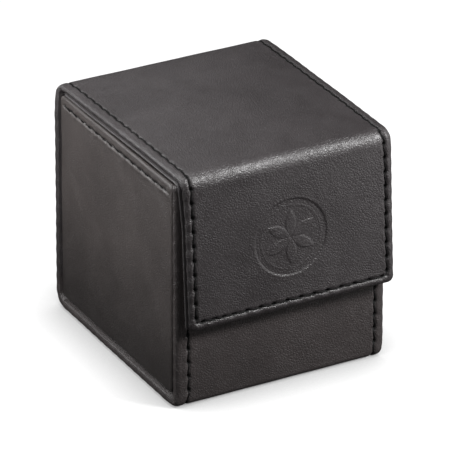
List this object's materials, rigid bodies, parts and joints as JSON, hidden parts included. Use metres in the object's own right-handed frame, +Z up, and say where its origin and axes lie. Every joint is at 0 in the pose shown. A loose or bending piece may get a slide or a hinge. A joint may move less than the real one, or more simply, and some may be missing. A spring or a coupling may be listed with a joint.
{
  "type": "leather keepsake box",
  "caption": "Near-cubic leather-covered box with a wrap-over lid on a living hinge, a front flap held by hidden magnets, inset padded side panels and stitched edges.",
  "frame": {"origin": "middle of the base's flat underside, on the surface the box stands on", "axes": "+Z up through the lid, -Y towards the flap, +X towards the right side panel"},
  "size_m": [0.08, 0.0891, 0.0831],
  "materials": {
    "outer_leather": "fine-grained charcoal calf, semi-matt",
    "board": "greyboard",
    "lining": "short-nap microfibre suede",
    "seam_thread": "waxed polyester thread",
    "pad_foam": "thin foam sheet",
    "magnet_steel": "nickel-plated"
  },
  "bodies": {
    "box": {"back_board": "board", "back_leather": "outer_leather", "back_left_seam_thread": "seam_thread", "back_lining": "lining", "back_right_seam_thread": "seam_thread", "base_leather": "outer_leather", "base_left_seam_thread": "seam_thread", "base_right_seam_thread": "seam_thread", "bottom_board": "board", "floor_lining": "lining", "front_board": "board", "front_leather": "outer_leather", "front_left_seam_thread": "seam_thread", "front_lining": "lining", "front_right_seam_thread": "seam_thread", "left_board": "board", "left_keeper_plate": "magnet_steel", "left_lining": "lining", "left_panel_foam": "pad_foam", "left_panel_leather": "outer_leather", "left_panel_seam_thread": "seam_thread", "right_board": "board", "right_keeper_plate": "magnet_steel", "right_lining": "lining", "right_panel_foam": "pad_foam", "right_panel_leather": "outer_leather", "right_panel_seam_thread": "seam_thread"},
    "lid": {"lid_board": "board", "lid_leather": "outer_leather", "lid_left_seam_thread": "seam_thread", "lid_lining": "lining", "lid_right_seam_thread": "seam_thread"},
    "flap": {"flap_board": "board", "flap_leather": "outer_leather", "flap_lining": "lining", "flap_seam_thread": "seam_thread", "left_magnet": "magnet_steel", "right_magnet": "magnet_steel"}
  },
  "joints": [
    {"name": "lid_hinge", "type": "hinge", "parent": "box", "child": "lid", "pos_m": [0, 0.04079, 0.08164], "axis": [-1, 0, 0], "range_deg": [0, 115]},
    {"name": "flap_hinge", "type": "hinge", "parent": "lid", "child": "flap", "pos_m": [0, -0.04158, 0.08177], "axis": [-1, 0, 0], "range_deg": [0, 110]}
  ]
}
